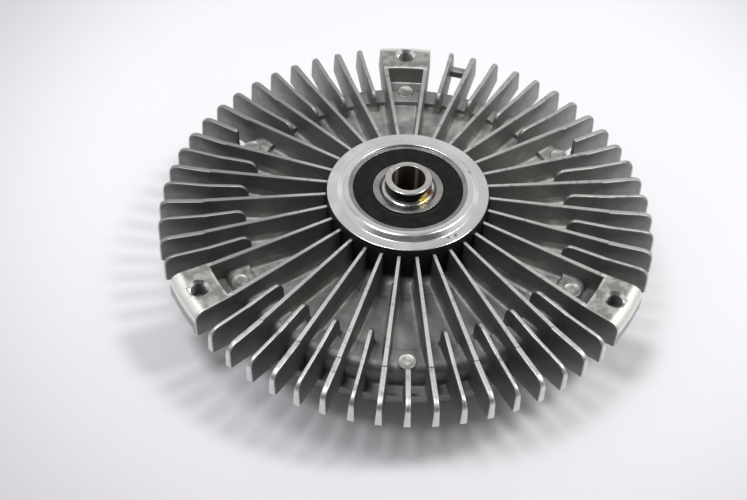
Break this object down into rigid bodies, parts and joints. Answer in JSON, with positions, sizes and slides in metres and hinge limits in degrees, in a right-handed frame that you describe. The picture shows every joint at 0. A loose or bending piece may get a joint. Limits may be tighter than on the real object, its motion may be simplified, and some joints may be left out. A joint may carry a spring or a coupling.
{
  "type": "viscous fan clutch",
  "caption": "Viscous fan clutch with a radially finned cast housing, sealed bearing, hollow bolt-through shaft, labyrinth rotor and finned front cover with a bimetal-controlled valve.",
  "frame": {"origin": "centre of the part on the surface it lies on, at the ends of the front cover's fins", "axes": "+Z along the shaft towards its nose, +Y towards the fan boss that lies furthest from the viewer of the picture, +X to the right"},
  "size_m": [0.164, 0.164, 0.0437],
  "materials": {
    "cast_aluminium": "die-cast, machined hub flange",
    "rotor_aluminium": "turned",
    "bearing_steel": "ground",
    "shaft_steel": "turned",
    "sheet_steel": "rolled",
    "bimetal": "rolled",
    "seal_rubber": "moulded",
    "cage_polymer": "moulded"
  },
  "bodies": {
    "housing": {"clutch_body": "cast_aluminium", "front_cover": "cast_aluminium", "cover_o_ring": "seal_rubber", "separator_plate": "sheet_steel", "bearing_outer_ring": "bearing_steel", "bearing_rear_seal": "seal_rubber", "bearing_front_seal": "seal_rubber", "shaft_seal": "seal_rubber", "seal_spring": "sheet_steel", "bimetal_strip": "bimetal", "strip_clips": "sheet_steel", "clip_rivets": "sheet_steel", "pin_o_ring": "seal_rubber", "lever_rivet": "sheet_steel"},
    "drive": {"drive_shaft": "shaft_steel", "rotor": "rotor_aluminium", "bearing_inner_ring": "bearing_steel"},
    "ball_set": {"bearing_balls": "bearing_steel", "bearing_cage": "cage_polymer"},
    "pin": {"control_pin": "sheet_steel"},
    "valve": {"valve_lever": "sheet_steel"}
  },
  "joints": [
    {"name": "drive_spin", "type": "hinge", "parent": "housing", "child": "drive", "pos_m": [0, 0, 0.0332], "axis": [0, 0, 1], "continuous": true},
    {"name": "cage_spin", "type": "hinge", "parent": "housing", "child": "ball_set", "pos_m": [0, 0, 0.0332], "axis": [0, 0, 1], "continuous": true},
    {"name": "pin_slide", "type": "slide", "parent": "housing", "child": "pin", "axis": [0, 0, -1], "range_m": [0, 0.001], "stiffness_N_per_m": 100, "deforming": ["bimetal_strip"]},
    {"name": "valve_tilt", "type": "hinge", "parent": "housing", "child": "valve", "pos_m": [0.034, -0.028, 0.0144], "axis": [0, -1, 0], "range_deg": [0, 1.6]}
  ],
  "couplings": [
    {"joint": "cage_spin", "follows": "drive_spin", "ratio": 0.38246},
    {"joint": "valve_tilt", "follows": "pin_slide", "rad_per_m": 27.75}
  ]
}
